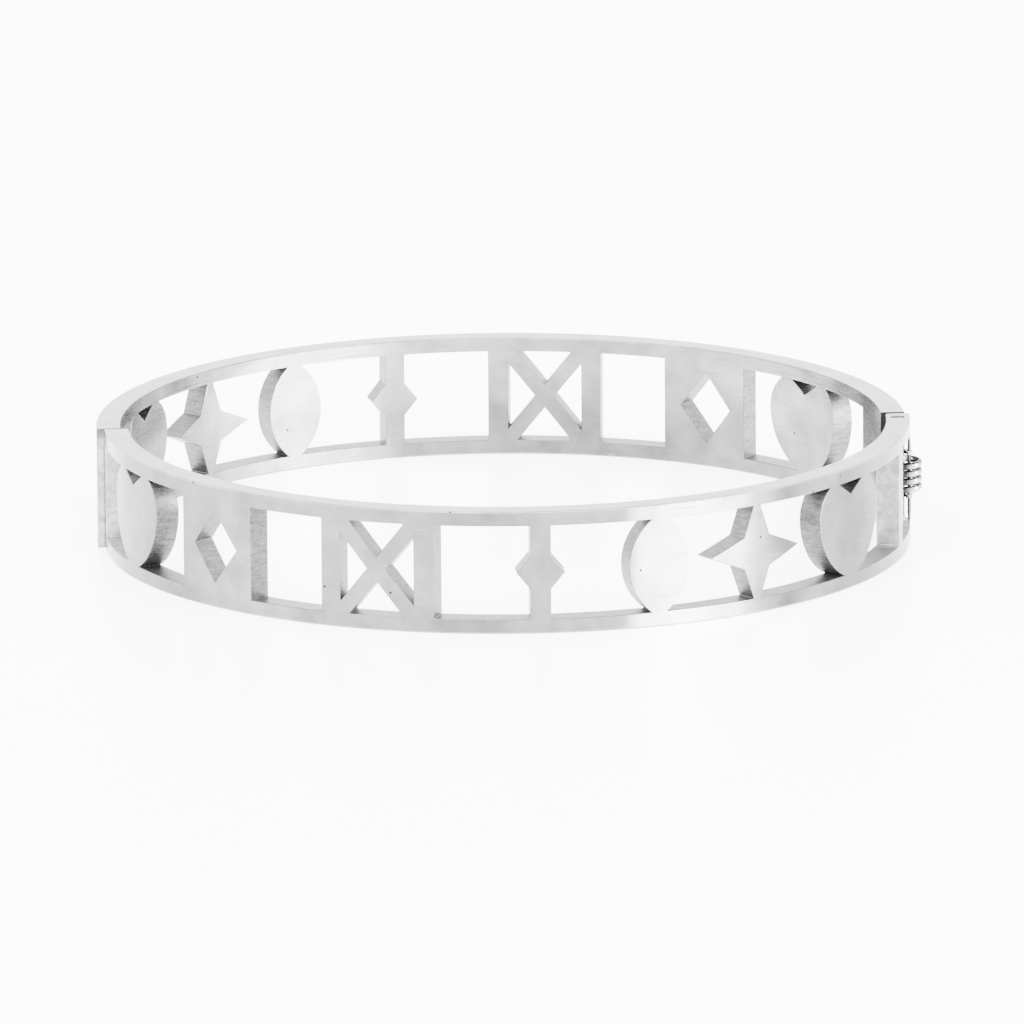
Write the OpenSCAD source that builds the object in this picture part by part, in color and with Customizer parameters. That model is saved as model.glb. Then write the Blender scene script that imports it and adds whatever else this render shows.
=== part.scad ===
// Hinged bangle in two pierced half bands, lying on its lower rim.
// The hinge is at +X, the clasp at -X, and the front half faces -Y.

/* [Band] */
// Outer radius of the front half band
front_r = 31.95; // [28:0.05:36]
// Outer radius of the back half band
back_r = 32.1; // [28:0.05:36]
// Thickness of the metal, measured across the band
band_wall = 1.9; // [1.7:0.1:2.2]
// Height of the band, from the lower rim to the upper rim
band_h = 9.7; // [9:0.1:11]
// Height of the plain rail above and below the pierced work
rail_h = 1.15; // [1:0.05:1.3]
// How far the front half is shifted towards the hinge
front_shift = 0.16; // [0.1:0.01:0.2]
// How far the back half is shifted towards the clasp
back_shift = 0.31; // [0.25:0.01:0.35]

/* [Pierced work] */
// Width of a heart
heart_w = 8.4; // [7.5:0.1:8.8]
// Width of the notch between the heart's lobes
notch_w = 3.3; // [2.5:0.1:3.5]
// Depth of the notch
notch_d = 1; // [0.6:0.1:1.4]
// Width of the panel with the pierced lozenge
panel_w = 7.6; // [6.5:0.1:8]
// Width of the lattice panel
lattice_w = 9.2; // [8:0.1:9.4]
// Width of the baluster's swelling
baluster_w = 3.8; // [3:0.1:4]
// Width of the leaf
leaf_w = 4.9; // [4:0.1:5.2]
// Width of the four-pointed star
star_w = 8.6; // [7.5:0.1:8.8]
// Width of a lattice bar
bar_w = 1.2; // [1:0.1:1.4]
// Width of an upright post
post_w = 1.6; // [1.3:0.1:1.9]

/* [Hinge] */
// Opening between the two ends at the outer side of the hinge
hinge_gap = 0.4; // [0.2:0.05:0.5]
// Opening between the two ends at the inner side of the hinge
hinge_bevel = 0.6; // [0.5:0.05:1]
// Distance of the pin in front of the back half's end
pin_y = 1; // [0.9:0.05:1.2]
// Radius of the hinge pin
pin_r = 0.15; // [0.12:0.01:0.16]
// Height of the recess for the spring
recess_h = 6.8; // [6.4:0.1:7]
// Outside diameter of the spring
spring_d = 1.75; // [1.6:0.05:1.8]
// Length of the spring
spring_h = 3.1; // [2.9:0.1:3.3]
// Number of turns of the spring
spring_turns = 4; // [3:1:4]

/* [Clasp] */
// Opening between the two ends at the clasp
clasp_gap = 0.2; // [0.15:0.05:0.3]
// Height of the clasp's tab
tab_h = 4; // [3:0.5:5]
// Thickness of the clasp's tab
tab_t = 0.6; // [0.5:0.05:0.7]

/* [Hidden] */

steel = "silver";
bright_steel = "lightgray";
spring_steel = "dimgray";
$fn = 96;

// Window of the pierced work, and the middle of the band's height
win_lo = rail_h;
win_hi = band_h - rail_h;
win_mid = band_h / 2;
// Distance between the middles of the two halves
step = front_shift + back_shift;
// The ring that opens the windows runs this far past the wall on both sides
past = 0.5;
// The outlines of the ornaments run further, so that none of the ring is left over them
deep = 1.5;

// The heart is widest at heart_z; below it two long arcs meet at the tip
lobe_r = 3;
heart_z = win_hi - 2.5;
heart_tip = win_lo - 0.3;
side_half = heart_w / 2;
side_drop = heart_z - heart_tip;
side_off = (side_drop * side_drop - side_half * side_half) / (2 * side_half);

// A leaf is where two equal circles overlap, its tips 0.4 into the rails
leaf_half = (win_hi - win_lo) / 2 + 0.4;
leaf_off = (leaf_half * leaf_half - leaf_w * leaf_w / 4) / leaf_w;

// Ornaments of each half: kind and angle from its middle, from the clasp to the hinge
FRONT = [["heart", -70.5], ["panel", -49.2], ["lattice", -22.2], ["baluster", 1],
         ["leaf", 18], ["star", 33.8], ["heart", 53.7]];
BACK = [["heart", -66.9], ["star", -47.2], ["leaf", -30], ["baluster", -13],
        ["lattice", 10.3], ["panel", 36.8], ["heart", 57.5]];
// Angles of the walls that close the first and the last window of each half
front_end = [-88, 71.8];
back_end = [-84, 76.6];

// Hinge, in the front half's own place
pin_x = front_r - 0.05;
recess_z = 4.55;
recess_depth = 1;
// Rise of the sloping ends for each millimetre of depth
recess_slope = 0.3;
recess_front = pin_y + spring_d / 2 + 0.12;
flat_depth = 0.6;
flat_slant = 0.7;
flat_front = 9;
flat_low = 1.25;
flat_high = 8.9;
lug_r = 0.27;
lug_h = 0.28;
lug_gap = 0.08;
lug_bar = 0.36;
spring_z = win_mid;
// The spring is close wound from oval wire: half its width across the coil, half its height
wire_w = 0.21;
wire_h = 0.29;
spring_out = 0.175;
pin_straight = 5.2;
pin_cone = 1.2;
fit = 0.03;
turn_fit = 0.04;
// Short slot in the rim beside the hinge
rim_slot = [1.05, 0.7, 0.8];

// Clasp
tab_in = 3;
tab_out = 0.6;
tab_fit = 0.08;
// The tab stands in the middle of the metal that both halves share
tab_mid = (front_r - front_shift + back_r - band_wall + back_shift) / 2;

// The spring stands out past the band, so the model is moved to centre its outline
reach = front_shift + pin_x + spring_out + spring_d / 2;
centre_x = (reach - back_shift - back_r) / 2;
centre_y = (back_r - front_r) / 2;

module heart() {
    difference() {
        union() {
            intersection() {
                translate([-side_off, heart_z]) circle(r = side_off + side_half);
                translate([side_off, heart_z]) circle(r = side_off + side_half);
                translate([-side_half - 1, 0]) square([heart_w + 2, heart_z]);
            }
            intersection() {
                union() {
                    translate([lobe_r - side_half, heart_z]) circle(r = lobe_r);
                    translate([side_half - lobe_r, heart_z]) circle(r = lobe_r);
                    translate([lobe_r - side_half, heart_z]) square([heart_w - 2 * lobe_r, lobe_r]);
                }
                translate([-side_half - 1, heart_z]) square([heart_w + 2, band_h - heart_z]);
            }
        }
        translate([0, win_hi - notch_d])
            polygon([[0, 0], [notch_w, 2 * notch_d], [-notch_w, 2 * notch_d]]);
    }
}

module lozenge(w, h) {
    polygon([[-w / 2, win_mid], [0, win_mid - h / 2], [w / 2, win_mid], [0, win_mid + h / 2]]);
}

module panel() {
    difference() {
        translate([-panel_w / 2, 0]) square([panel_w, band_h]);
        lozenge(panel_w - 2.2 * post_w + 0.6, win_hi - win_lo - 1.6);
    }
}

module lattice() {
    open_w = lattice_w - 2 * post_w;
    open_h = win_hi - win_lo;
    slope = atan2(open_h, open_w);
    length = norm([open_w, open_h]) + 1;
    for (side = [-1, 1])
        translate([side * (lattice_w - post_w) / 2 - post_w / 2, 0]) square([post_w, band_h]);
    for (turn = [-slope, slope])
        translate([0, win_mid]) rotate(turn) square([length, bar_w], center = true);
}

module baluster() {
    translate([-post_w / 2, 0]) square([post_w, band_h]);
    lozenge(baluster_w, 4.6);
}

module leaf() {
    intersection() {
        translate([-leaf_off, win_mid]) circle(r = leaf_off + leaf_w / 2);
        translate([leaf_off, win_mid]) circle(r = leaf_off + leaf_w / 2);
    }
}

module star() {
    tip = (win_hi - win_lo) / 2 + 0.9;
    waist = 1.25;
    translate([0, win_mid])
        polygon([for (i = [0:7])
            let (r = i % 2 == 1 ? waist * sqrt(2) : i % 4 == 0 ? star_w / 2 : tip)
            [r * cos(45 * i), r * sin(45 * i)]]);
}

module ornament(kind) {
    if (kind == "heart") heart();
    if (kind == "panel") panel();
    if (kind == "lattice") lattice();
    if (kind == "baluster") baluster();
    if (kind == "leaf") leaf();
    if (kind == "star") star();
}

// Stands a flat outline up and runs it through the wall at one angle
module through_wall(r, angle) {
    rotate([0, 0, angle])
        rotate([90, 0, 0])
            translate([0, 0, r - band_wall - deep])
                linear_extrude(height = band_wall + 2 * deep)
                    children();
}

// All that is cut away of half a band: a ring of open windows without the ornaments
module piercing(r, list, ends) {
    difference() {
        rotate([0, 0, ends[0] - 90])
            rotate_extrude(angle = ends[1] - ends[0])
                translate([r - band_wall - past, win_lo])
                    square([band_wall + 2 * past, win_hi - win_lo]);
        for (item = list)
            through_wall(r, item[1]) ornament(item[0]);
    }
}

// Half a ring on the -Y side, pierced
module half_band(r, list, ends) {
    difference() {
        rotate([0, 0, 180])
            rotate_extrude(angle = 180)
                translate([r - band_wall, 0]) square([band_wall, band_h]);
        piercing(r, list, ends);
    }
}

// Recess for the spring and the lugs, with sloping ends
module recess() {
    half = recess_h / 2;
    floor_x = front_r - recess_depth;
    intersection() {
        translate([0, -recess_front, recess_z])
            rotate([90, 0, 0])
                mirror([0, 0, 1])
                    linear_extrude(height = recess_front + 2)
                        polygon([[front_r + 1, -half], [front_r, -half],
                                 [floor_x, -half + recess_slope * recess_depth],
                                 [floor_x, half - recess_slope * recess_depth],
                                 [front_r, half], [front_r + 1, half]]);
        translate([floor_x, -recess_front, 0]) cube([3, recess_front + 1, band_h]);
    }
}

// In front of the recess the outside is cut flat and a little aslant, so that the whole spring
// and the pin are in sight from the front
module flat() {
    near_x = front_r - flat_depth;
    translate([0, 0, flat_low])
        linear_extrude(height = flat_high - flat_low)
            polygon([[near_x, 0.05 - recess_front], [front_r + 2, 0.05 - recess_front],
                     [front_r + 2, -flat_front], [near_x - flat_slant, -flat_front]]);
}

// Coned pin, grown by a clearance
module pin_shape(grow) {
    tip_r = 0.07;
    translate([pin_x, -pin_y, recess_z]) {
        translate([0, 0, -pin_straight / 2 - 0.01])
            cylinder(h = pin_straight + 0.02, r = pin_r + grow, $fn = 32);
        translate([0, 0, pin_straight / 2])
            cylinder(h = pin_cone + grow, r1 = pin_r + grow, r2 = tip_r + grow, $fn = 32);
        translate([0, 0, -pin_straight / 2 - pin_cone - grow])
            cylinder(h = pin_cone + grow, r1 = tip_r + grow, r2 = pin_r + grow, $fn = 32);
    }
}

module front_half() {
    inner_r = front_r - band_wall;
    color(steel)
        translate([front_shift - centre_x, -centre_y, 0])
            difference() {
                half_band(front_r, FRONT, front_end);
                translate([0, 0, -1])
                    linear_extrude(height = band_h + 2)
                        polygon([[inner_r - 1, 1], [inner_r - 1, -hinge_bevel], [inner_r, -hinge_bevel],
                                 [front_r, -hinge_gap], [front_r + 1, -hinge_gap], [front_r + 1, 1]]);
                translate([-front_r - 1, -clasp_gap, -1]) cube([band_wall + 2, 1, band_h + 2]);
                recess();
                flat();
                pin_shape(fit);
                translate([inner_r + 0.35, -pin_y - 0.35 - rim_slot[1], band_h - rim_slot[2]])
                    cube([rim_slot[0], rim_slot[1], 1]);
                translate([-front_shift - tab_mid - tab_t / 2 - tab_fit,
                           -tab_out - tab_fit, win_mid - tab_h / 2 - tab_fit])
                    cube([tab_t + 2 * tab_fit, 1, tab_h + 2 * tab_fit]);
            }
}

// Eye that turns on the pin, with its bar to the end of the back half
module lug(z) {
    foot_x = back_r - step - 0.45;
    reach_x = pin_x - foot_x;
    reach_y = pin_y + 0.3;
    translate([pin_x, -pin_y, z])
        difference() {
            union() {
                cylinder(h = lug_h, r = lug_r, $fn = 48);
                rotate([0, 0, atan2(reach_y, -reach_x)])
                    translate([0, -lug_bar / 2, 0]) cube([norm([reach_x, reach_y]), lug_bar, lug_h]);
            }
            translate([0, 0, -1]) cylinder(h = lug_h + 2, r = pin_r + turn_fit, $fn = 32);
        }
}

module back_half() {
    lug_z = spring_h / 2 + lug_gap;
    color(steel)
        translate([-back_shift - centre_x, -centre_y, 0])
            difference() {
                union() {
                    mirror([0, 1, 0]) half_band(back_r, BACK, back_end);
                    translate([step, 0, spring_z]) {
                        lug(lug_z);
                        lug(-lug_z - lug_h);
                    }
                }
                translate([back_shift - tab_mid - tab_t / 2, -1, win_mid - tab_h / 2])
                    cube([tab_t, tab_in + 1, tab_h]);
            }
}

module hinge_pin() {
    color(bright_steel)
        translate([front_shift - centre_x, -centre_y, 0]) pin_shape(0);
}

// Points of one ring of the spring's wire, at a share t of its length
function ring(t, sides) =
    let (a = 180 + 360 * spring_turns * t,
         r = spring_d / 2 - wire_w,
         z = (t - 0.5) * (spring_h - 2 * wire_h))
    [for (i = [0:sides - 1])
        let (b = 360 * i / sides)
        [(r + wire_w * cos(b)) * cos(a), (r + wire_w * cos(b)) * sin(a), z + wire_h * sin(b)]];

module hinge_spring() {
    sides = 10;
    steps = 24 * spring_turns;
    points = [for (k = [0:steps]) each ring(k / steps, sides)];
    walls = [for (k = [0:steps - 1]) for (i = [0:sides - 1])
        let (j = (i + 1) % sides, a = k * sides, b = a + sides)
        each [[a + i, b + i, b + j], [a + i, b + j, a + j]]];
    start = [for (i = [0:sides - 1]) i];
    finish = [for (i = [sides - 1:-1:0]) steps * sides + i];
    color(spring_steel)
        translate([front_shift - centre_x + pin_x + spring_out, -centre_y - pin_y, spring_z])
            polyhedron(points = points, faces = concat(walls, [start, finish]));
}

module clasp_tab() {
    color(bright_steel)
        translate([-centre_x - tab_mid - tab_t / 2, -centre_y - tab_out, win_mid - tab_h / 2])
            cube([tab_t, tab_in + tab_out, tab_h]);
}

front_half();
back_half();
hinge_pin();
hinge_spring();
clasp_tab();
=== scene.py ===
# A hinged bangle of pierced steel, closed and lying on its lower rim on a white light table.
# In order: the two small helpers, the table, light and camera, then one section for each piece.
import math

import bpy
from mathutils import Matrix, Vector


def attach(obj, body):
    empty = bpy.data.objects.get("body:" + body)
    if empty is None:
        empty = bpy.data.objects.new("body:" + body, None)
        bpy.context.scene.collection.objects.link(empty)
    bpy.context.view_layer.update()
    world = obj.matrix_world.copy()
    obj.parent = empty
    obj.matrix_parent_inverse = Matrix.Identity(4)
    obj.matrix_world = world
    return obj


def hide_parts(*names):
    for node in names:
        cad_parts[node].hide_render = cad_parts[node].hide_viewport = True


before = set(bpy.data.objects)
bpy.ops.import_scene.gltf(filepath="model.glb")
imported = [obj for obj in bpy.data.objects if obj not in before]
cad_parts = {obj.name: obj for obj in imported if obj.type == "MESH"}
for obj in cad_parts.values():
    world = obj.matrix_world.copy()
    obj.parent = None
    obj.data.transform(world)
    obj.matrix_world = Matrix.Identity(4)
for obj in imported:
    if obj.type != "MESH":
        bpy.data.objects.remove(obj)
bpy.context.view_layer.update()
MM = 0.001


def linear(code):
    """An sRGB hex colour as linear red, green, blue and alpha."""
    channels = [int(code[i:i + 2], 16) / 255 for i in (1, 3, 5)]
    return tuple(c / 12.92 if c <= 0.04045 else ((c + 0.055) / 1.055) ** 2.4 for c in channels) + (1,)


def add(tree, kind, settings=None, links=None, **options):
    """Adds a node with its options, constants and incoming links."""
    made = tree.nodes.new("ShaderNode" + kind)
    for key, value in options.items():
        setattr(made, key, value)
    for key, value in (settings or {}).items():
        made.inputs[key].default_value = value
    for key, socket in (links or {}).items():
        tree.links.new(socket, made.inputs[key])
    return made


# Table: a sheet of white opal acrylic, cast and satin polished, lit evenly from below, so it is almost
# white without hard shadows and gives a faint, soft reflection of the rim that stands on it.
bpy.ops.object.select_all(action="DESELECT")
bpy.ops.mesh.primitive_plane_add(size=6, location=(0, 0, 0))
table = bpy.context.active_object
table.name = "table"
acrylic = bpy.data.materials.new("white_opal_acrylic_backlit")
acrylic.use_nodes = True
tree = acrylic.node_tree
shader = tree.nodes["Principled BSDF"]
shader.inputs["Base Color"].default_value = linear("#FBFBFA")
shader.inputs["IOR"].default_value = 1.49
shader.inputs["Emission Color"].default_value = linear("#FDFDFD")
shader.inputs["Emission Strength"].default_value = 4.5
where = add(tree, "TexCoord")
# Cast acrylic has a soft wave about 2 mm long
wave = add(tree, "TexNoise", {"Scale": 500.0, "Detail": 1.0}, {"Vector": where.outputs["Object"]})
gloss = add(tree, "MapRange", {"To Min": 0.2, "To Max": 0.27}, {"Value": wave.outputs["Fac"]})
tree.links.new(gloss.outputs["Result"], shader.inputs["Roughness"])
table.data.materials.append(acrylic)

# Light: a white tent, brightest before the bangle, dimmer behind it and at both sides and dark straight
# above, so that the rounded edges catch a dark line. One softbox hangs above the left shoulder and
# a second stands low on the right, which puts a bright zone on the right of the front.
world = bpy.data.worlds.new("white_tent")
bpy.context.scene.world = world
world.use_nodes = True
tree = world.node_tree
where = add(tree, "TexCoord")
side = add(tree, "SeparateXYZ", links={0: where.outputs["Generated"]})
# Brightness by height above the table, and less towards either side
tent = add(tree, "MapRange", {"From Min": 0.6, "From Max": 0.92, "To Min": 12.3, "To Max": 1.6},
           {"Value": side.outputs["Z"]}, interpolation_type="SMOOTHSTEP")
aside = add(tree, "Math", links={0: side.outputs["X"]}, operation="ABSOLUTE")
sides = add(tree, "MapRange", {"From Min": 0.45, "From Max": 0.85, "To Min": 1.0, "To Max": 0.6},
            {"Value": aside.outputs[0]}, interpolation_type="SMOOTHSTEP")
behind = add(tree, "MapRange", {"From Min": 0.2, "From Max": 0.8, "To Min": 1.0, "To Max": 0.62},
             {"Value": side.outputs["Y"]}, interpolation_type="SMOOTHSTEP")
even = add(tree, "Math", links={0: sides.outputs[0], 1: behind.outputs[0]}, operation="MULTIPLY")
strength = add(tree, "Math", links={0: tent.outputs[0], 1: even.outputs[0]}, operation="MULTIPLY")
tree.nodes["Background"].inputs["Color"].default_value = linear("#FBFBFC")
tree.links.new(strength.outputs[0], tree.nodes["Background"].inputs["Strength"])
for name, place, width, tall, power in (("softbox", (-0.3, -0.45, 0.8), 0.5, 0.35, 18.0),
                                        ("side_softbox", (0.63, -0.447, 0.16), 0.43, 0.26, 23.0)):
    bpy.ops.object.light_add(type="AREA", location=place)
    lamp = bpy.context.active_object
    lamp.name = name
    lamp.data.shape = "RECTANGLE"
    lamp.data.size = width
    lamp.data.size_y = tall
    lamp.data.energy = power
    lamp.rotation_euler = (-Vector(place)).to_track_quat("-Z", "Y").to_euler()

# Camera: a long lens 1.17 m away, 13.07 degrees above the table and 3.53 degrees round towards the
# clasp, rolled 0.42 degrees; these values were fitted to the edges in the photograph.
target = Vector((-0.35, -0.075, 4.85)) * MM
tilt, turn, roll, away = 0.2282, 0.0617, 0.0073, 1166 * MM
ahead = Vector((math.cos(tilt) * math.sin(turn), math.cos(tilt) * math.cos(turn), -math.sin(tilt)))
right = Vector((math.cos(turn), -math.sin(turn), 0))
up = right.cross(ahead)
axes = Matrix((right * math.cos(roll) - up * math.sin(roll),
               right * math.sin(roll) + up * math.cos(roll),
               -ahead)).transposed()
bpy.ops.object.camera_add(location=target - ahead * away)
camera = bpy.context.active_object
camera.name = "camera"
camera.rotation_euler = axes.to_euler()
camera.data.sensor_width = 36
camera.data.lens = 516.6
# The lens shift, in pixels of a picture of this side
picture_side = 1024
camera.data.shift_x = 6.58 / picture_side
camera.data.shift_y = -32.29 / picture_side
camera.data.clip_start = 0.05
camera.data.clip_end = 20
bpy.context.scene.camera = camera

# Half bands: 1.9 mm stainless strip, laser cut, rolled to a half ring, then polished by hand.
# The broad faces and rims are satin-bright with fine lines along the band, the cut walls stay
# duller and keep the laser's striations, and every edge is slightly worn round.
EDGE_WEAR = 0.06 * MM
# Points closer together than this would spoil a worn edge
POINT_GAP = 0.04 * MM
# The hinge begins at this x. Its small cuts reach this far to both sides of the joint, the shallow
# flat before it reaches further, and both end below the upper rail
HINGE_X = 28 * MM
CUTS_Y = 2.5 * MM
FLAT_Y = 9.2 * MM
FLAT_LOW = 1.2 * MM
RAIL_LOW = 9 * MM
# Sizes for the pattern in mm: outer radius and half the height of the band, and where the middle of
# the two rings lies
RING_R = 32.0
HALF_HEIGHT = 4.85
RING_MIDDLE = (-0.35 * MM, -0.075 * MM, 0)
steel = bpy.data.materials.new("stainless_steel_polished_laser_cut")
steel.use_nodes = True
tree = steel.node_tree
shader = tree.nodes["Principled BSDF"]
shader.inputs["Metallic"].default_value = 1.0
where = add(tree, "TexCoord")
centred = add(tree, "VectorMath", {1: RING_MIDDLE}, {0: where.outputs["Object"]}, operation="SUBTRACT")
mm = add(tree, "VectorMath", {"Scale": 1000.0}, {0: centred.outputs[0]}, operation="SCALE")
part = add(tree, "SeparateXYZ", links={0: mm.outputs[0]})
angle = add(tree, "Math", links={0: part.outputs["Y"], 1: part.outputs["X"]}, operation="ARCTAN2")
arc = add(tree, "Math", {1: RING_R}, {0: angle.outputs[0]}, operation="MULTIPLY")
level = add(tree, "CombineXYZ", links={"X": part.outputs["X"], "Y": part.outputs["Y"]})
radius = add(tree, "VectorMath", links={0: level.outputs[0]}, operation="LENGTH")
outward = add(tree, "VectorMath", links={0: level.outputs[0]}, operation="NORMALIZE")
band = add(tree, "CombineXYZ",
           links={"X": arc.outputs[0], "Y": radius.outputs["Value"], "Z": part.outputs["Z"]})

# Broad faces look along the radius, rims lie at both ends of the height, all else was cut
facing = add(tree, "VectorMath", links={0: where.outputs["Normal"], 1: outward.outputs[0]},
             operation="DOT_PRODUCT")
facing_size = add(tree, "Math", links={0: facing.outputs["Value"]}, operation="ABSOLUTE")
broad = add(tree, "MapRange", {"From Min": 0.7, "From Max": 0.85}, {"Value": facing_size.outputs[0]})
height = add(tree, "Math", {1: HALF_HEIGHT}, {0: part.outputs["Z"]}, operation="SUBTRACT")
height_size = add(tree, "Math", links={0: height.outputs[0]}, operation="ABSOLUTE")
rim = add(tree, "MapRange", {"From Min": HALF_HEIGHT - 0.15, "From Max": HALF_HEIGHT - 0.07},
          {"Value": height_size.outputs[0]})
polished = add(tree, "Math", links={0: broad.outputs[0], 1: rim.outputs[0]}, operation="MAXIMUM")

# Polishing lines 0.08 mm apart and about 6 mm long run along the band
lines_place = add(tree, "VectorMath", {1: (0.16, 12.0, 12.0)}, {0: band.outputs[0]}, operation="MULTIPLY")
lines = add(tree, "TexNoise", {"Scale": 1.0, "Detail": 3.0, "Roughness": 0.6},
            {"Vector": lines_place.outputs[0]})
# Hand polishing leaves soft clouds a few millimetres wide
clouds = add(tree, "TexNoise", {"Scale": 0.35, "Detail": 3.0, "Roughness": 0.55},
             {"Vector": mm.outputs[0]})
# Faint laser striations run through the wall, 0.15 mm apart, over a sandy grain of 0.06 mm
stripes_place = add(tree, "VectorMath", {1: (5.0, 0.8, 5.0)}, {0: band.outputs[0]}, operation="MULTIPLY")
stripes = add(tree, "TexNoise", {"Scale": 1.0, "Detail": 2.0, "Roughness": 0.5},
              {"Vector": stripes_place.outputs[0]})
grain = add(tree, "TexNoise", {"Scale": 7.0, "Detail": 4.0, "Roughness": 0.7}, {"Vector": mm.outputs[0]})

# Wear on the polished faces: across is the way over the broad faces and the rims alike
across = add(tree, "Math", links={0: part.outputs["Z"], 1: radius.outputs["Value"]}, operation="ADD")
sheet = add(tree, "CombineXYZ", links={"X": arc.outputs[0], "Y": across.outputs[0]})
# Pits 0.2 mm wide, at most one in every 5 mm
cells = add(tree, "TexVoronoi", {"Scale": 0.2}, {"Vector": sheet.outputs[0]}, voronoi_dimensions="2D")
hole = add(tree, "MapRange", {"From Min": 0.014, "From Max": 0.026, "To Min": 1.0, "To Max": 0.0},
           {"Value": cells.outputs["Distance"]})
cell = add(tree, "SeparateColor", links={0: cells.outputs["Color"]})
chosen = add(tree, "Math", {1: 0.6}, {0: cell.outputs[0]}, operation="GREATER_THAN")
pit = add(tree, "Math", links={0: hole.outputs[0], 1: chosen.outputs[0]}, operation="MULTIPLY")
# Scuffs 2 mm long and 0.2 mm wide, and scratches 8 mm long and a hair wide
scuff_place = add(tree, "VectorMath", {1: (0.6, 4.5, 1.0)}, {0: sheet.outputs[0]}, operation="MULTIPLY")
scuffs = add(tree, "TexNoise", {"Scale": 1.0, "Detail": 2.0}, {"Vector": scuff_place.outputs[0]},
             noise_dimensions="2D")
scuff = add(tree, "MapRange", {"From Min": 0.73, "From Max": 0.83}, {"Value": scuffs.outputs["Fac"]})
scratch_place = add(tree, "VectorMath", {1: (0.12, 15.0, 1.0)}, {0: sheet.outputs[0]}, operation="MULTIPLY")
scratches = add(tree, "TexNoise", {"Scale": 1.0, "Detail": 1.0}, {"Vector": scratch_place.outputs[0]},
                noise_dimensions="2D")
scratch = add(tree, "MapRange", {"From Min": 0.72, "From Max": 0.8}, {"Value": scratches.outputs["Fac"]})

# Colour: bright steel, a shade darker and greyer on the cut walls. The light is strong, so that the
# table comes out white, and all these greys are darker than the metal's own for that. Near the ends
# the inner side is painted darker, a painted shade for the dark reflections it shows there
reach = add(tree, "Math", links={0: part.outputs["X"]}, operation="ABSOLUTE")
inner_side = add(tree, "MapRange", {"From Min": -0.5, "From Max": -0.8}, {"Value": facing.outputs["Value"]})
near_end = add(tree, "MapRange", {"From Min": 26.0, "From Max": 31.0}, {"Value": reach.outputs[0]},
               interpolation_type="SMOOTHSTEP")
painted_end_shade = add(tree, "Math", links={0: inner_side.outputs[0], 1: near_end.outputs[0]}, operation="MULTIPLY")
# The walls that close the row of windows were filed flat; a painted reflection makes them lighter than the
# other cuts
depth = add(tree, "Math", links={0: part.outputs["Y"]}, operation="ABSOLUTE")
filed_and_lit = add(tree, "MapRange", {"From Min": 10.3, "From Max": 10.6, "To Min": 1.0, "To Max": 0.0},
            {"Value": depth.outputs[0]})
# Painted light and shade: brighter and darker stretches of reflection are painted into the colour. These
# ramps run from the clasp to the hinge, for the outside of the front, the outside of the back and the
# inside
along = add(tree, "MapRange", {"From Min": -RING_R, "From Max": RING_R}, {"Value": part.outputs["X"]})
front_painted_light = ((0.06, "#5F5F5F"), (0.18, "#6A6A6A"), (0.34, "#626262"), (0.42, "#505050"),
               (0.53, "#5F5F5F"), (0.61, "#626262"), (0.64, "#BBBBBB"), (0.70, "#BDBDBD"),
               (0.745, "#9F9F9F"), (0.785, "#6A6A6A"), (0.82, "#4B4B4B"), (0.86, "#696969"),
               (0.90, "#525252"), (0.95, "#5C5C5C"))
back_painted_light = ((0.10, "#6A6A6A"), (0.30, "#626262"), (0.55, "#6F6F6F"), (0.75, "#5E5E5E"),
              (0.92, "#656565"))
inner_painted_light = ((0.10, "#787878"), (0.25, "#C4C4C4"), (0.43, "#6E6E6E"), (0.64, "#626262"),
               (0.80, "#787878"), (0.90, "#868686"))
painted_light_ramps = []
for stops in (front_painted_light, back_painted_light, inner_painted_light):
    ramp = add(tree, "ValToRGB", links={"Fac": along.outputs[0]})
    ramp.color_ramp.interpolation = "EASE"
    for spot, shade in stops[1:-1]:
        ramp.color_ramp.elements.new(spot).color = linear(shade)
    for end in (0, -1):
        ramp.color_ramp.elements[end].position = stops[end][0]
        ramp.color_ramp.elements[end].color = linear(stops[end][1])
    painted_light_ramps.append(ramp)
behind = add(tree, "MapRange", {"From Min": -0.1, "From Max": 0.1}, {"Value": part.outputs["Y"]})
# The outside takes the painted light of the front half or of the back half
outside = add(tree, "Mix", data_type="RGBA",
              links={0: behind.outputs[0], 6: painted_light_ramps[0].outputs[0], 7: painted_light_ramps[1].outputs[0]})
# Inside, the painted light grows brighter towards the upper rail
rise = add(tree, "MapRange", {"From Min": 3.0, "From Max": 8.0, "To Min": 0.7, "To Max": 1.2},
           {"Value": part.outputs["Z"]}, interpolation_type="SMOOTHSTEP")
inside = add(tree, "VectorMath", links={0: painted_light_ramps[2].outputs[0], "Scale": rise.outputs[0]},
             operation="SCALE")
faces = add(tree, "Mix", data_type="RGBA",
            links={0: inner_side.outputs[0], 6: outside.outputs[2], 7: inside.outputs[0]})
# The narrow rims were ground in one pass, so they are even all round
even = add(tree, "Mix", {7: linear("#7C7C7B")}, {0: rim.outputs[0], 6: faces.outputs[2]},
           data_type="RGBA")
cloudy = add(tree, "Mix", {0: 0.15}, {2: clouds.outputs["Fac"], 3: lines.outputs["Fac"]},
             data_type="FLOAT")
mottle = add(tree, "MapRange", {"From Min": 0.3, "From Max": 0.7, "To Min": 0.7, "To Max": 1.3},
             {"Value": cloudy.outputs[0]})
bright = add(tree, "VectorMath", links={0: even.outputs[2], "Scale": mottle.outputs[0]},
             operation="SCALE")
sandy_mix = add(tree, "Mix", {0: 0.35}, {2: grain.outputs["Fac"], 3: stripes.outputs["Fac"]},
                data_type="FLOAT")
sandy = add(tree, "ValToRGB", links={"Fac": sandy_mix.outputs[0]})
sandy.color_ramp.elements[0].position = 0.38
sandy.color_ramp.elements[0].color = linear("#484848")
sandy.color_ramp.elements[1].position = 0.62
sandy.color_ramp.elements[1].color = linear("#787878")
colour = add(tree, "Mix", data_type="RGBA", links={0: polished.outputs[0]})
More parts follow.
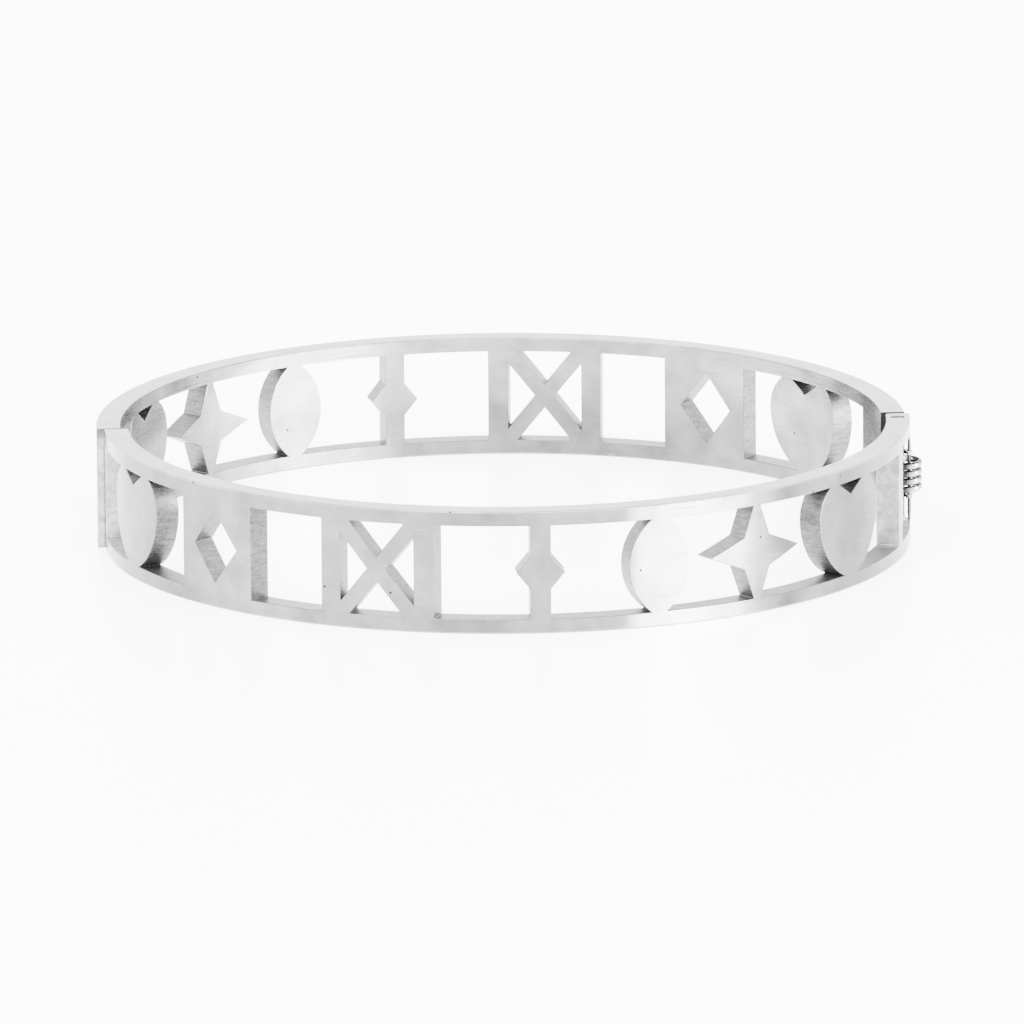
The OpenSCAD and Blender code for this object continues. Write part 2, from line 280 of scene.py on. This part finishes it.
# Filing and tumbling left soft blotches about 1 mm wide on them
blotches = add(tree, "TexNoise", {"Scale": 1.1, "Detail": 5.0, "Roughness": 0.62, "Distortion": 0.7},
               {"Vector": mm.outputs[0]})
filed_and_lit_tone = add(tree, "ValToRGB", links={"Fac": blotches.outputs["Fac"]})
filed_and_lit_tone.color_ramp.elements[0].position = 0.4
filed_and_lit_tone.color_ramp.elements[0].color = linear("#808080")
filed_and_lit_tone.color_ramp.elements[1].position = 0.6
filed_and_lit_tone.color_ramp.elements[1].color = linear("#A6A6A6")
# and compound stayed in hair-fine winding veins
vein_middle = add(tree, "Math", {1: 0.52}, {0: blotches.outputs["Fac"]}, operation="SUBTRACT")
vein_off = add(tree, "Math", links={0: vein_middle.outputs[0]}, operation="ABSOLUTE")
vein = add(tree, "MapRange", {"From Min": 0.0, "From Max": 0.012, "To Min": 0.7, "To Max": 0.0},
           {"Value": vein_off.outputs[0]})
veined = add(tree, "Mix", {7: linear("#606060")}, {0: vein.outputs[0], 6: filed_and_lit_tone.outputs["Color"]},
             data_type="RGBA")
# The end walls take the filed blotches and veins, painted lighter for the reflection of the table
filed_and_lit_colour = add(tree, "Mix", data_type="RGBA",
                   links={0: filed_and_lit.outputs[0], 6: sandy.outputs["Color"], 7: veined.outputs[2]})
tree.links.new(filed_and_lit_colour.outputs[2], colour.inputs[6])
scuffed = add(tree, "Mix", {7: linear("#6D6D6D")}, {0: scuff.outputs[0], 6: bright.outputs[0]},
              data_type="RGBA")
scratched = add(tree, "Mix", {7: linear("#525252")}, {0: scratch.outputs[0], 6: scuffed.outputs[2]},
                data_type="RGBA")
# Painted shade: the inner side near the ends is darkened
end_shaded_colour = add(tree, "Mix", {7: linear("#1F1F1F")}, data_type="RGBA",
                   links={0: painted_end_shade.outputs[0], 6: scratched.outputs[2]})
pitted = add(tree, "Mix", {7: linear("#181818")}, {0: pit.outputs[0], 6: end_shaded_colour.outputs[2]},
             data_type="RGBA")
tree.links.new(pitted.outputs[2], colour.inputs[7])
# Painted shade: the faces that meet at the hinge and the clasp are painted dark, for the shade in the joint
across_end = add(tree, "SeparateXYZ", links={0: where.outputs["Normal"]})
end_facing = add(tree, "Math", links={0: across_end.outputs["Y"]}, operation="ABSOLUTE")
end_face = add(tree, "MapRange", {"From Min": 0.6, "From Max": 0.9}, {"Value": end_facing.outputs[0]})
at_joint = add(tree, "MapRange", {"From Min": 0.9, "From Max": 1.0, "To Min": 1.0, "To Max": 0.0},
               {"Value": depth.outputs[0]})
joint_shade_inward = add(tree, "MapRange", {"From Min": 31.7, "From Max": 31.95, "To Min": 1.0, "To Max": 0.15},
              {"Value": reach.outputs[0]})
upper = add(tree, "MapRange", {"From Min": 8.2, "From Max": 9.6, "To Min": 0.0, "To Max": 0.85},
            {"Value": part.outputs["Z"]}, interpolation_type="SMOOTHSTEP")
joint_shade_spread = add(tree, "Math", links={0: joint_shade_inward.outputs[0], 1: upper.outputs[0]}, operation="MAXIMUM")
joint_shade_at_end = add(tree, "Math", links={0: at_joint.outputs[0], 1: joint_shade_spread.outputs[0]}, operation="MULTIPLY")
painted_joint_shade = add(tree, "Math", links={0: end_face.outputs[0], 1: joint_shade_at_end.outputs[0]}, operation="MULTIPLY")
# The slot in the rim beside the hinge gets the same painted shade
slot_height = add(tree, "MapRange", {"From Min": 8.6, "From Max": 8.7}, {"Value": part.outputs["Z"]})
slot_place = add(tree, "MapRange", {"From Min": 2.4, "From Max": 2.5, "To Min": 1.0, "To Max": 0.0},
                 {"Value": depth.outputs[0]})
hinge_end = add(tree, "Math", {1: 29.5}, {0: part.outputs["X"]}, operation="GREATER_THAN")
in_slot = add(tree, "Math", links={0: slot_height.outputs[0], 1: slot_place.outputs[0]},
              operation="MULTIPLY")
at_slot = add(tree, "Math", links={0: in_slot.outputs[0], 1: hinge_end.outputs[0]}, operation="MULTIPLY")
slot_cut = add(tree, "Math", {0: 1.0}, {1: polished.outputs[0]}, operation="SUBTRACT")
painted_slot_shade = add(tree, "Math", links={0: at_slot.outputs[0], 1: slot_cut.outputs[0]}, operation="MULTIPLY")
joint_and_slot_shade = add(tree, "Math", links={0: painted_joint_shade.outputs[0], 1: painted_slot_shade.outputs[0]}, operation="MAXIMUM")
# Painted shade in the joints and the slot darkens the colour
joint_and_slot_shaded = add(tree, "Mix", {7: linear("#333332")}, {0: joint_and_slot_shade.outputs[0], 6: colour.outputs[2]},
             data_type="RGBA")
tree.links.new(joint_and_slot_shaded.outputs[2], shader.inputs["Base Color"])

# Roughness: satin where polished, duller where cut
line_gloss = add(tree, "MapRange", {"From Min": 0.3, "From Max": 0.7, "To Min": 0.16, "To Max": 0.30},
                 {"Value": lines.outputs["Fac"]})
grain_gloss = add(tree, "MapRange", {"From Min": 0.3, "From Max": 0.7, "To Min": 0.30, "To Max": 0.5},
                  {"Value": grain.outputs["Fac"]})
gloss = add(tree, "Mix", data_type="FLOAT",
            links={0: polished.outputs[0], 2: grain_gloss.outputs[0], 3: line_gloss.outputs[0]})
tree.links.new(gloss.outputs[0], shader.inputs["Roughness"])

# Relief: polishing lines a few microns deep, striations of about 0.02 mm on the cut walls
line_relief = add(tree, "Bump", {"Strength": 0.35, "Distance": 0.004 * MM},
                  {"Height": lines.outputs["Fac"]})
cut_relief = add(tree, "Bump", {"Strength": 0.8, "Distance": 0.03 * MM},
                 {"Height": sandy_mix.outputs[0]})
relief = add(tree, "Mix", data_type="VECTOR",
             links={0: polished.outputs[0], 4: cut_relief.outputs[0], 5: line_relief.outputs[0]})
tree.links.new(relief.outputs[1], shader.inputs["Normal"])

for name in ("front_half", "back_half"):
    bpy.ops.object.select_all(action="DESELECT")
    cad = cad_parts[name]
    cad.select_set(True)
    bpy.context.view_layer.objects.active = cad
    bpy.ops.object.duplicate()
    half = bpy.context.active_object
    half.name = name + "_band"
    half.parent = None
    for key in list(half.keys()):
        del half[key]
    bpy.ops.mesh.customdata_custom_splitnormals_clear()
    bpy.ops.object.mode_set(mode="EDIT")
    bpy.ops.mesh.select_all(action="SELECT")
    bpy.ops.mesh.select_mode(type="VERT")
    bpy.ops.mesh.remove_doubles(threshold=0.001 * MM)
    bpy.ops.mesh.select_all(action="DESELECT")
    bpy.ops.object.mode_set(mode="OBJECT")
    # Points closer than the edges are worn fall together, except at the small cuts of the hinge
    points = half.data.vertices
    for point in points:
        point.select = not (point.co.x > HINGE_X and abs(point.co.y) < CUTS_Y)
    bpy.ops.object.mode_set(mode="EDIT")
    bpy.ops.mesh.remove_doubles(threshold=POINT_GAP)
    bpy.ops.mesh.dissolve_limited(angle_limit=math.radians(0.5))
    bpy.ops.mesh.select_all(action="DESELECT")
    bpy.ops.mesh.select_mode(type="EDGE")
    bpy.ops.mesh.edges_select_sharp(sharpness=math.radians(30))
    bpy.ops.object.mode_set(mode="OBJECT")
    points = half.data.vertices
    weight = half.data.attributes.new("bevel_weight_edge", "FLOAT", "EDGE")
    for edge in half.data.edges:
        middle = (points[edge.vertices[0]].co + points[edge.vertices[1]].co) / 2
        # The small cuts of the hinge and the shallow flat before it keep their edges
        at_cuts = abs(middle.y) < CUTS_Y and middle.z < RAIL_LOW
        at_flat = abs(middle.y) < FLAT_Y and FLAT_LOW < middle.z < RAIL_LOW
        kept_sharp = middle.x > HINGE_X and (at_cuts or at_flat)
        weight.data[edge.index].value = 1.0 if edge.select and not kept_sharp else 0.0
    wear = half.modifiers.new("edge_wear", "BEVEL")
    wear.width = EDGE_WEAR
    wear.segments = 3
    wear.limit_method = "WEIGHT"
    wear.use_clamp_overlap = False
    wear.loop_slide = False
    wear.harden_normals = True
    bpy.ops.object.modifier_apply(modifier="edge_wear")
    half.data.materials.clear()
    half.data.materials.append(steel)
    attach(half, name)
    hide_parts(name)

# Hinge pin: a drawn steel wire with ground, coned ends, pressed into the front half.
# It is dull grey and smooth, with faint grinding rings round it.
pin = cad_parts["hinge_pin"]
wire = bpy.data.materials.new("steel_wire_ground")
wire.use_nodes = True
tree = wire.node_tree
shader = tree.nodes["Principled BSDF"]
shader.inputs["Metallic"].default_value = 1.0
where = add(tree, "TexCoord")
# Grinding rings 0.05 mm apart round the pin
rings_place = add(tree, "VectorMath", {1: (1000.0, 1000.0, 20000.0)}, {0: where.outputs["Object"]},
                  operation="MULTIPLY")
rings = add(tree, "TexNoise", {"Scale": 1.0, "Detail": 2.0}, {"Vector": rings_place.outputs[0]})
tone = add(tree, "ValToRGB", links={"Fac": rings.outputs["Fac"]})
tone.color_ramp.elements[0].color = linear("#383838")
tone.color_ramp.elements[1].color = linear("#565655")
tree.links.new(tone.outputs["Color"], shader.inputs["Base Color"])
gloss = add(tree, "MapRange", {"To Min": 0.42, "To Max": 0.56}, {"Value": rings.outputs["Fac"]})
tree.links.new(gloss.outputs[0], shader.inputs["Roughness"])
relief = add(tree, "Bump", {"Strength": 0.4, "Distance": 0.004 * MM}, {"Height": rings.outputs["Fac"]})
tree.links.new(relief.outputs[0], shader.inputs["Normal"])
pin.data.materials.clear()
pin.data.materials.append(wire)

# Hinge spring: hard-drawn spring wire, wound by machine into four turns.
# It is a little greyer than the bands and carries drawing lines along the wire.
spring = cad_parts["hinge_spring"]
drawn = bpy.data.materials.new("spring_steel_wire_drawn")
drawn.use_nodes = True
tree = drawn.node_tree
shader = tree.nodes["Principled BSDF"]
shader.inputs["Metallic"].default_value = 1.0
where = add(tree, "TexCoord")
# Drawing lines 0.04 mm apart, which follow the turns
draw_place = add(tree, "VectorMath", {1: (3000.0, 3000.0, 25000.0)}, {0: where.outputs["Object"]},
                 operation="MULTIPLY")
draw = add(tree, "TexNoise", {"Scale": 1.0, "Detail": 3.0, "Roughness": 0.6},
           {"Vector": draw_place.outputs[0]})
tone = add(tree, "ValToRGB", links={"Fac": draw.outputs["Fac"]})
tone.color_ramp.elements[0].color = linear("#8C8C8B")
tone.color_ramp.elements[1].color = linear("#B2B2B1")
# Painted shade darkens the upper side of each turn
way = add(tree, "SeparateXYZ", links={0: where.outputs["Normal"]})
upper_side_shade = add(tree, "MapRange", {"From Max": 0.5, "To Max": 0.85}, {"Value": way.outputs["Z"]})
upper_shaded_tone = add(tree, "Mix", {7: linear("#2C2C2B")}, {0: upper_side_shade.outputs[0], 6: tone.outputs["Color"]},
            data_type="RGBA")
tree.links.new(upper_shaded_tone.outputs[2], shader.inputs["Base Color"])
gloss = add(tree, "MapRange", {"To Min": 0.18, "To Max": 0.3}, {"Value": draw.outputs["Fac"]})
tree.links.new(gloss.outputs[0], shader.inputs["Roughness"])
relief = add(tree, "Bump", {"Strength": 0.3, "Distance": 0.004 * MM}, {"Height": draw.outputs["Fac"]})
tree.links.new(relief.outputs[0], shader.inputs["Normal"])
spring.data.materials.clear()
spring.data.materials.append(drawn)

# Clasp tab: a stamped steel strip, tumbled, so it is satin with soft marks across it.
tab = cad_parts["clasp_tab"]
strip = bpy.data.materials.new("steel_strip_stamped_tumbled")
strip.use_nodes = True
tree = strip.node_tree
shader = tree.nodes["Principled BSDF"]
shader.inputs["Metallic"].default_value = 1.0
where = add(tree, "TexCoord")
# Tumbling marks about 0.3 mm wide
marks = add(tree, "TexNoise", {"Scale": 3300.0, "Detail": 4.0, "Roughness": 0.65},
            {"Vector": where.outputs["Object"]})
tone = add(tree, "ValToRGB", links={"Fac": marks.outputs["Fac"]})
tone.color_ramp.elements[0].color = linear("#AFAFAE")
tone.color_ramp.elements[1].color = linear("#CFCFCE")
tree.links.new(tone.outputs["Color"], shader.inputs["Base Color"])
gloss = add(tree, "MapRange", {"To Min": 0.25, "To Max": 0.4}, {"Value": marks.outputs["Fac"]})
tree.links.new(gloss.outputs[0], shader.inputs["Roughness"])
relief = add(tree, "Bump", {"Strength": 0.4, "Distance": 0.006 * MM}, {"Height": marks.outputs["Fac"]})
tree.links.new(relief.outputs[0], shader.inputs["Normal"])
tab.data.materials.clear()
tab.data.materials.append(strip)
